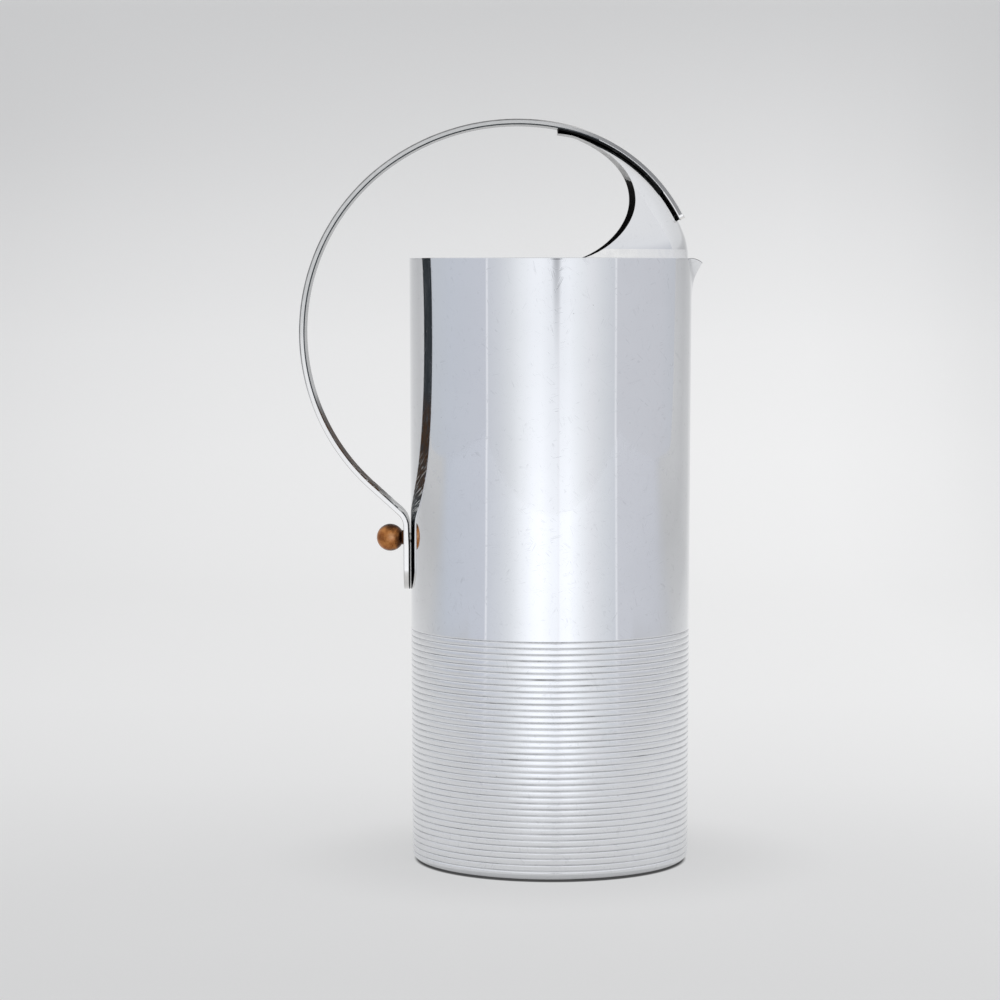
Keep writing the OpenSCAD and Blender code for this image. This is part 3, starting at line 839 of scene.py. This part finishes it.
def build_packing():
    tip = math.degrees(math.acos((TONGUE_TIP_X - FRONT_C[0]) / CROWN_R))
    angle = np.linspace(PACKING_DEPTH[0][0], tip, PACKING_ROWS)
    depth = np.interp(angle, *zip(*PACKING_DEPTH))[:, None]
    turn = np.radians(angle)[:, None]
    across = np.interp(angle, *zip(*PACKING_HALF))[:, None] * np.linspace(-1, 1, PACKING_COLS)
    top = np.full_like(across, CROWN_R + PACKING_T - PACKING_SEAM)
    low = np.maximum(dome_reach(turn, across) + PACKING_SEAM, top - depth)
    low = np.minimum(low, top - PACKING_SEAM)
    ring = np.hstack([top, low[:, ::-1]])
    y = np.hstack([across, across[:, ::-1]])
    grid = np.stack([FRONT_C[0] + ring * np.cos(turn), y, FRONT_C[1] + ring * np.sin(turn)], -1)
    cols = 2 * PACKING_COLS
    sides, _ = grid_faces(PACKING_ROWS, cols, ring_cols=True)
    last = (PACKING_ROWS - 1) * cols
    caps = [[k, k + 1, cols - 2 - k, cols - 1 - k] for k in range(PACKING_COLS - 1)]
    caps += [[last + a for a in reversed(cap)] for cap in caps]
    faces = np.vstack([sides[:, ::-1], caps])
    obj = mesh_object("packing", grid, faces, None, [packing_material()])
    dress(obj, "pitcher", "strap_packing")


# Strap: a ribbon along tangent arcs, its arrises eased, its free end cornered, its tab half round

STRAP_STEP = 1.0
STRAP_ARRIS = 0.28
# The tab's inner face stands this much nearer the wall
TAB_FILL = 0.28
# Where, from the free end, the inner face's painted shade starts and where its arrises take it
DARK_FACE_FROM = 12.0
DARK_ARRIS_FROM = 42.0
ARRIS_STEPS = 5
FACE_STEPS = 10
# Outermost place on a face's flat part, as a share of its half width
NEAR_EDGE = 0.985
# Least flat part and widest arris at the tab's tip, as shares of the half width
LEAST_FLAT = 0.02
MOST_ARRIS = 0.98
SIDE_SHARES = (0.12, 0.5, 0.88)
FREE_STEPS = 10
TAB_STEPS = 28
END_MARGIN = 0.2


def strap_path():
    """Middle line of the strap from its free end to the end of the tab, and its outward side."""

    def sweep(centre, radius, start, stop, side=1):
        count = max(2, int(abs(stop - start) * radius / STRAP_STEP))
        points = arc(centre, radius, start, stop, count)
        return list(zip(points, side * (points - centre) / radius))

    def straight(start, way, length, out):
        count = int(length / STRAP_STEP)
        return [(start + way * length * k / count, out) for k in range(1, count + 1)]

    line = sweep(FRONT_C, FRONT_R - STRAP_MID, END_ANGLE, TOP_ANGLE)
    line += sweep(TOP_C, TOP_R - STRAP_MID, TOP_ANGLE, BACK_ANGLE)[1:]
    line += sweep(BACK_C, BACK_R - STRAP_MID, BACK_ANGLE, RUN_ANGLE)[1:]
    line += straight(BACK_END, RUN_DIR, RUN_LEN, unit(RUN_ANGLE))
    line += sweep(BEND_C, BEND_R, RUN_ANGLE - math.pi, 0, -1)[1:]
    line += straight(np.array([TAB_X, BEND_C[1]]), np.array([0, -1]), TAB_LEN, np.array([-1.0, 0]))
    points, out = zip(*line)
    return np.array(points), np.array(out)


def end_spacing(depth, steps):
    """Distances that crowd towards an end, so that a round there stays smooth."""
    return depth * (1 - np.cos(np.linspace(0, math.pi / 2, steps + 1)))


def strap_stations():
    """The path sampled again, crowded at both ends, with each place's distance from the ends."""
    points, out = strap_path()
    step = np.linalg.norm(np.diff(points, axis=0), axis=1)
    length = np.hstack([[0], np.cumsum(step)])
    total = length[-1]
    first = end_spacing(END_CORNER_R, FREE_STEPS)
    last = total - end_spacing(STRAP_HALF, TAB_STEPS)[::-1]
    after_first = length > END_CORNER_R + END_MARGIN
    before_last = length < total - STRAP_HALF - END_MARGIN
    place = np.hstack([first, length[after_first & before_last], last])
    centre, side = (
        np.stack([np.interp(place, length, line[:, k]) for k in (0, 1)], 1) for line in (points, out)
    )
    side /= np.linalg.norm(side, axis=1, keepdims=True)
    return centre, side, place, total - place


def strap_places(free, tab):
    """Places across the strap, crowded at its arrises, by how far each station is into an end."""
    corner = STRAP_HALF - END_CORNER_R + np.sqrt(END_CORNER_R**2 - free**2)
    width = np.minimum(corner, np.sqrt(STRAP_HALF**2 - tab**2))
    ease = np.minimum(end_spacing(STRAP_ARRIS, ARRIS_STEPS), width * MOST_ARRIS)
    inner = np.linspace(-1, 1, FACE_STEPS + 1)[1:-1]
    flat = np.hstack([[-NEAR_EDGE], inner, [NEAR_EDGE]])
    flat = flat * np.maximum(width - STRAP_ARRIS, width * LEAST_FLAT)
    return np.hstack([ease - width, flat, (width - ease)[:, ::-1]])


def strap_thickness(across, free, tab):
    """Half the strap's thickness, less towards its edge, where the arris is round."""
    x = np.abs(across)
    from_corner = np.clip(x - (STRAP_HALF - END_CORNER_R), 0, None)
    edge_tab = STRAP_HALF - np.hypot(x, tab)
    edge_free = END_CORNER_R - np.hypot(from_corner, free)
    edge = np.clip(np.minimum(edge_tab, edge_free), 0, STRAP_ARRIS)
    return STRAP_MID - STRAP_ARRIS + np.sqrt(STRAP_ARRIS**2 - (STRAP_ARRIS - edge) ** 2)


def strap_grid(across, free, tab, centre, out, from_tab):
    """Points round the strap at each station: outer face, side, inner face, side."""
    thick = strap_thickness(across, free, tab)
    fill = TAB_FILL * np.clip((TAB_LEN - from_tab) / BEND_R, 0, 1)[:, None]

    def face(offset):
        at = centre[:, None] + out[:, None] * offset[..., None]
        return np.stack([at[..., 0], across, at[..., 1]], -1)

    top, low = face(thick), face(-thick - fill)[:, ::-1]
    shares = np.array(SIDE_SHARES)[None, :, None]
    right = top[:, -1:] * (1 - shares) + low[:, :1] * shares
    left = low[:, -1:] * (1 - shares) + top[:, :1] * shares
    return np.hstack([top, right, low, left])


def strap_caps(base, face_cols, cols):
    """Quads across the free end and the tab's end, on points numbered from a base."""
    caps = []
    for k in range(face_cols - 1):
        a, b = base + k, base + cols - len(SIDE_SHARES) - 1 - k
        caps.append([a, a + 1, b - 1, b])
        caps.append([a + cols, b + cols, b + cols - 1, a + cols + 1])
    return caps


def strap_finish(places, from_free, face_cols, cols):
    """Finish of each quad: 0 plate, 1 inner face in painted shade, 2 arris with painted dark
    reflection in places, 3 side.
    """
    along, col = from_free[places[:, 0]], places[:, 1]
    low_start = face_cols + len(SIDE_SHARES)
    low_end = low_start + face_cols
    arris = along > DARK_ARRIS_FROM
    inner = (col >= low_start - arris) & (col < low_end - 1 + arris) & (along > DARK_FACE_FROM)
    eased = (col < ARRIS_STEPS) | (col == cols - 1)
    eased |= (col >= face_cols - 1 - ARRIS_STEPS) & (col < face_cols)
    sides = (col >= face_cols) & (col < low_start - 1) | (col >= low_end) & (col < cols - 1)
    return np.where(eased, 2, np.where(sides & ~inner, 3, inner.astype(int)))


def strap_uv(across, from_free, faces):
    """Tens of millimetres along and round the strap at the corners of each quad."""
    side = np.repeat(np.array([SIDE_SHARES]) * STRAP_T, len(across), 0)
    turns = [across, STRAP_HALF + side, 3 * STRAP_HALF - across, 5 * STRAP_HALF + side]
    girth = np.hstack(turns)
    along = np.repeat(from_free[:, None], girth.shape[1], 1)
    at = np.stack([along, girth], -1).reshape(-1, 2)
    at = np.vstack([at, np.zeros((2 * girth.shape[1], 2))])
    return at[faces.reshape(-1)] / 10


def build_strap():
    centre, out, from_free, from_tab = strap_stations()
    free = np.clip(END_CORNER_R - from_free, 0, None)[:, None]
    tab = np.clip(STRAP_HALF - from_tab, 0, None)[:, None]
    across = strap_places(free, tab)
    grid = strap_grid(across, free, tab, centre, out, from_tab)
    rows, cols = grid.shape[:2]
    face_cols = across.shape[1]
    padded = np.hstack([grid[:, -1:], grid, grid[:, :1]])
    normals = normalised(np.cross(lengthwise(padded)[:, 1:-1], crosswise(grid)))
    free_n = np.repeat([[out[0, 1], 0, -out[0, 0]]], cols, 0)
    tab_n = np.repeat([[0, 0, -1.0]], cols, 0)
    points = np.vstack([grid.reshape(-1, 3), grid[0], grid[-1]])
    normals = np.vstack([normals.reshape(-1, 3), free_n, tab_n])
    quads, places = grid_faces(rows, cols, ring_cols=True)
    caps = strap_caps(rows * cols, face_cols, cols)
    faces = np.vstack([quads[:, ::-1], caps])
    finish = strap_finish(places, from_free, face_cols, cols)
    material = np.hstack([finish, np.zeros(len(caps))])
    uv = strap_uv(across, from_free, faces)
    finishes = [
        chrome_material("chrome_strap", 0.05, 0.5, CHROME_WARM),
        strap_inside_material(),
        # Arrises and sides darker between two places along the strap: painted dark reflection
        edge_material("strap_edge", (0.17, 0.17, 0.17), (4.5, 7.0), (19.5, 22.5)),
        edge_material("strap_side", (0.60, 0.60, 0.59), (3.5, 7.5), (17.5, 21.0)),
    ]
    obj = mesh_object("strap", points, faces, normals, finishes, material, uv)
    dress(obj, "pitcher", "handle_strap")


# Ball: turned about the screw's axis, with a short neck that ends on the tab

BALL_STEPS = 72
BALL_SPOKES = 96
POLE_R = 0.005


def build_ball():
    meet = math.asin(NECK_R / BALL_R)
    ball = [(x, max(r, POLE_R)) for x, r in arc((0, 0), BALL_R, math.pi, meet, BALL_STEPS)]
    start, end = BALL_R * math.cos(meet), BALL_R + BALL_STAND
    neck = [(start + share * (end - start), NECK_R) for share in (0.5, 1)]
    line = np.array(ball + neck + [(end, POLE_R)])
    spin = np.linspace(0, 2 * math.pi, BALL_SPOKES, endpoint=False)[:, None]
    x = np.repeat(line[None, :, 0], BALL_SPOKES, 0)
    r = line[None, :, 1]
    grid = np.stack([BALL_X + x, r * np.cos(spin), KNOB_H + r * np.sin(spin)], -1)
    normals = grid_normals(grid, True)
    normals[:, 0] = (-1, 0, 0)
    normals[:, -1] = (1, 0, 0)
    faces, _ = grid_faces(BALL_SPOKES, len(line), ring_rows=True)
    obj = mesh_object("knob", grid, faces, normals, [copper_material()])
    dress(obj, "ball", "knob_ball")


def finish_cad(material, *nodes):
    """CAD nodes that stay as they are take a material."""
    for node in nodes:
        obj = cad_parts[node]
        obj.data.materials.clear()
        obj.data.materials.append(material)


build_body()
build_hood()
build_packing()
build_strap()
build_ball()
finish_cad(solder_material(), "hood_solder")
finish_cad(nickel_material(), "knob_screw", "backing_washer", "cap_nut")
finish_cad(rubber_material(), "seal_washer")


# Camera, fitted to the photograph

CAMERA_AT = (-0.01818, -1.1618, 0.2114)
CAMERA_TILT = 85.978
LENS = 115.97
SENSOR = 36.0

camera_data = bpy.data.cameras.new("camera")
camera_data.lens = LENS
camera_data.sensor_width = SENSOR
camera = bpy.data.objects.new("camera", camera_data)
camera.location = CAMERA_AT
camera.rotation_euler = (math.radians(CAMERA_TILT), 0, 0)
bpy.context.scene.collection.objects.link(camera)
bpy.context.scene.camera = camera


# Sweep: floor, cove and wall in one sheet, in metres, its pale colour set by place

COVE_START = 1.0
COVE_R = 0.5
WALL_TOP = 1.9
FRONT_EDGE = -1.6
HALF_WIDTH = 2.4
SWEEP_FLOOR_ROWS = 50
SWEEP_COVE_STEPS = 32
SWEEP_WALL_ROWS = 16
SWEEP_COLS = 41
IMAGE_SIZE = 1000
# Range of distance back plus height that the colour ramp covers
RUN_START = 3.0
RUN_SPAN = 6.0

# Grey of the sweep at a few rows of the photograph, from its top to its bottom
SEEN_GREYS = (
    (10, 0.645), (120, 0.715), (230, 0.79), (340, 0.855), (450, 0.885), (590, 0.892),
    (700, 0.862), (780, 0.818), (840, 0.77), (900, 0.73), (980, 0.695),
)
# Grey of the wall above the picture, by distance back plus height
UPPER_GREYS = ((2.0, 0.72), (2.35, 0.76), (2.9, 0.80))
# Grey of the floor in front of the picture, and where it starts
FRONT_GREY = 0.69
FRONT_GREY_AT = FRONT_EDGE * 0.6
# Darkening high on the wall straight behind, which the hood's tongue mirrors
BEHIND_DARK = 0.45
BEHIND_HALF = (0.25, 0.6)
BEHIND_FROM = (0.62, 0.85)
# How the grey falls off sideways, as distance from the middle and share, up to a height
SIDE_FALL = (
    (-1.9, 0.70), (-1.3, 0.66), (-0.75, 0.74), (-0.42, 0.862), (-0.336, 0.90),
    (-0.237, 0.93), (-0.139, 0.95), (0.166, 0.995), (0.224, 1.0), (0.307, 0.97),
    (0.373, 0.905), (0.75, 0.72), (1.3, 0.66), (1.9, 0.70),
)
SIDE_FALL_TO = (0.30, 0.52)
# Where metal sees the panels in the sweep: in front of the object, or well aside of it
PANELS_AHEAD = (-0.34, -0.07)
PANELS_ASIDE = (0.4, 0.9)
PANELS_BACK_TO = (0.0, 0.5)
# Light that the paper itself sends back, which the painted grey leaves out
PAPER = 0.5
PAPER_GRAIN = 0.01
PAPER_LIGHT = 0.34
# Shade on the paper by radius in millimetres: dark at the foot's edge, faint farther out
FOOT_SHADE = (BASE_R - 2.2, BASE_R - 0.4, 0.12)
FAR_SHADE = (BASE_R + 2, BASE_R + 60, 0.93)
# It falls a little towards the camera
SHADE_FORWARD = 3.7
# Share of the foot's shade that metal sees
SHADE_IN_METAL = 0.25


def sweep_line():
    """Floor, cove and wall seen from the side, as distance back and height."""
    floor = [(y, 0.0) for y in np.linspace(FRONT_EDGE, COVE_START, SWEEP_FLOOR_ROWS)]
    cove = arc((COVE_START, COVE_R), COVE_R, -math.pi / 2, 0, SWEEP_COVE_STEPS)[1:]
    heights = np.linspace(COVE_R, WALL_TOP, SWEEP_WALL_ROWS)[1:]
    return np.vstack([floor, cove, [(COVE_START + COVE_R, z) for z in heights]])


def seen_run(row):
    """Distance back plus height, where a row of the picture meets the sweep."""
    angle = math.atan((row / IMAGE_SIZE - 0.5) * SENSOR / LENS) + math.radians(90 - CAMERA_TILT)
    line = sweep_line()
    above = line[:, 1] - CAMERA_AT[2] + (line[:, 0] - CAMERA_AT[1]) * math.tan(angle)
    k = int(np.argmax(above > 0))
    share = above[k - 1] / (above[k - 1] - above[k])
    y, z = line[k - 1] + share * (line[k] - line[k - 1])
    return y + z


def grey(value):
    return (value, value, value)


# Studio panels round the object, seen in its metal: azimuth in degrees from the camera's side,
# and colour in hundredths
PANELS = (
    (-180, (60, 61, 63)), (-140, (59, 60, 64)), (-117, (60, 63, 67)),
    (-90, (62, 65, 71)), (-54.2, (65, 67, 73)), (-53.8, (92, 93, 97)),
    (-52.8, (92, 93, 97)), (-52.4, (68, 70, 75)), (-42, (74, 76, 80)),
    (-33, (83, 85, 88)), (-25, (94, 96, 99)), (-15, (103, 105, 109)),
    (-8, (104, 106, 110)), (0, (96, 98, 102)), (5.5, (93, 95, 99)),
    (5.8, (89.5, 89, 92.5)), (6.3, (89.5, 89, 92.5)), (6.6, (99, 101, 105)),
    (14, (103, 105, 109)), (24, (94, 96, 99)), (33, (87, 88, 91)),
    (42, (78, 80, 83)), (52.8, (70, 72, 76)), (53.2, (91, 92, 95)),
    (54.0, (91, 92, 95)), (54.4, (68, 69, 73)), (100, (65, 66, 70)),
    (120, (61, 63, 67)), (146, (53, 54, 58)), (180, (60, 61, 63)),
)
PANEL_LEVEL = 0.945
# The front panel is brighter below eye level, by this share and between these angles
LOW_GLOW = 0.17
LOW_GLOW_SIDE = (8.0, 38.0)
LOW_GLOW_UP = (-6.0, -1.0)


def azimuth_of(x, y):
    """Degrees round from the camera's side."""
    return x.math("ARCTAN2", y * -1.0).math("DEGREES")


def panel_colour(tree, azimuth, height=None):
    """Colour of the panels at an azimuth, and at a height in degrees where one is given."""
    stops = [(at / 360 + 0.5, tuple(PANEL_LEVEL * (c / 100) for c in rgb)) for at, rgb in PANELS]
    panel = (azimuth / 360.0 + 0.5).ramp(stops)
    ahead = abs(azimuth).fall(*LOW_GLOW_SIDE)
    if height is not None:
        ahead = ahead * height.fall(*LOW_GLOW_UP)
    return tree.mix(1.0, panel, 1.0 + ahead * LOW_GLOW, "MULTIPLY")


def grey_ramp(value, below, span, stops):
    """Grey by place, over a span that starts this much below zero."""
    return ((value + below) / span).ramp([((at + below) / span, grey(g)) for at, g in stops])


def sweep_level(tree, x, y, z):
    """Grey of the sweep by place: its rows and their fall sideways, and the dark behind."""
    rows = [(seen_run(row), level) for row, level in SEEN_GREYS]
    rows = [(FRONT_GREY_AT, FRONT_GREY), *rows[::-1], *UPPER_GREYS]
    level = grey_ramp(y + z, RUN_START, RUN_SPAN, rows)
    side = grey_ramp(x, HALF_WIDTH, 2 * HALF_WIDTH, SIDE_FALL)
    side = tree.mix(z.fall(*SIDE_FALL_TO), grey(1.0), side)
    level = tree.mix(1.0, level, side, "MULTIPLY")
    behind = abs(x).fall(*BEHIND_HALF) * z.span(*BEHIND_FROM, 0.0, BEHIND_DARK)
    return tree.mix(behind, level, grey(0.0))


def pale_level(tree, place):
    """Pale colour of the sweep. Away from the picture, metal sees the studio's panels in it."""
    x, y, z = place.split()
    aside = abs(x).span(*PANELS_ASIDE) * y.fall(*PANELS_BACK_TO)
    away = tree.largest(y.fall(*PANELS_AHEAD), aside) * (1.0 - tree.ray("Camera"))
    return tree.mix(away, sweep_level(tree, x, y, z), panel_colour(tree, azimuth_of(x, y)))


def foot_shade(tree, place):
    """Share of the paper's level that is left by the vessel standing on it."""
    x, y, _ = place.split()
    y = y + SHADE_FORWARD * MM
    off = (x * x + y * y).math("SQRT")
    near, far = (
        off.span(low * MM, high * MM, least, 1.0) for low, high, least in (FOOT_SHADE, FAR_SHADE)
    )
    part = tree.ray("Camera").span(0.0, 1.0, SHADE_IN_METAL, 1.0, "LINEAR")
    return (1.0 - (1.0 - near) * part) * far


def paper_material():
    """Paper, part lit and part painted: the paint glows for the camera and in metal."""
    tree = new_material("sweep_paper")
    place = tree.place()
    shade = foot_shade(tree, place)
    paper = tree.mix(place.noise(900.0), grey(PAPER - PAPER_GRAIN), grey(PAPER + PAPER_GRAIN))
    paper = tree.mix(1.0, paper, shade, "MULTIPLY")
    painted = tree.mix(1.0, pale_level(tree, place), grey(PAPER_LIGHT), "SUBTRACT")
    painted = tree.mix(1.0, painted, shade, "MULTIPLY")
    seen = tree.largest(*(tree.ray(kind) for kind in ("Camera", "Glossy", "Transmission")))
    lit = tree.value("BsdfDiffuse", 0, {"Color": paper})
    glow = tree.value("Emission", 0, {"Color": painted, "Strength": seen})
    both = tree.value("AddShader", 0, {0: lit, 1: glow})
    tree.add("OutputMaterial", {"Surface": both})
    return tree.owner


def build_sweep():
    line = sweep_line()
    x = np.linspace(-HALF_WIDTH, HALF_WIDTH, SWEEP_COLS)
    grid = np.stack(np.broadcast_arrays(x[:, None], line[None, :, 0], line[None, :, 1]), -1) / MM
    faces, _ = grid_faces(len(x), len(line))
    sweep = mesh_object("sweep", grid, faces, grid_normals(grid, False), [paper_material()])


build_sweep()


# World: one soft studio, by direction from the object. Azimuth 0 is towards the camera's side.

SKY_LOW = (0.80, 0.805, 0.82)
SKY_MID = (0.84, 0.845, 0.85)
CEILING = (0.40, 0.40, 0.41)
SIDE = (0.80, 0.81, 0.83)
# Heights in degrees over which one colour passes into the next
SIDE_FROM = (4.0, 18.0)
SKY_FROM = (10.0, 30.0)
SKY_MID_FROM = (20.0, 50.0)
CEILING_FROM = (56.0, 74.0)
# A dark spot towards the camera: azimuth and height, and its half width, in degrees
DARK_ROOM = (0.17, 0.175, 0.19)
DARK_AT = (4.0, 4.0)
DARK_HALF = (2.0, 6.5)


def build_world():
    world = bpy.data.worlds.new("studio")
    bpy.context.scene.world = world
    tree = Tree(world)
    x, y, z = tree.value("TexCoord", "Generated").split()
    azimuth = azimuth_of(x, y)
    height = z.math("ARCSINE").math("DEGREES")
    colour = tree.mix(height.span(*SIDE_FROM), panel_colour(tree, azimuth, height), SIDE)
    above = tree.mix(height.span(*SKY_MID_FROM), SKY_LOW, SKY_MID)
    above = tree.mix(height.span(*CEILING_FROM), above, CEILING)
    colour = tree.mix(height.span(*SKY_FROM), colour, above)
    away = tree.distance(azimuth - DARK_AT[0], height - DARK_AT[1])
    colour = tree.mix(away.span(*DARK_HALF), DARK_ROOM, colour)
    colour = tree.mix(tree.ray("Camera"), colour, grey(FRONT_GREY))
    shade = tree.value("Background", 0, {"Color": colour, "Strength": 1.0})
    tree.add("OutputWorld", {"Surface": shade})


build_world()
bpy.context.scene.view_settings.view_transform = "Standard"
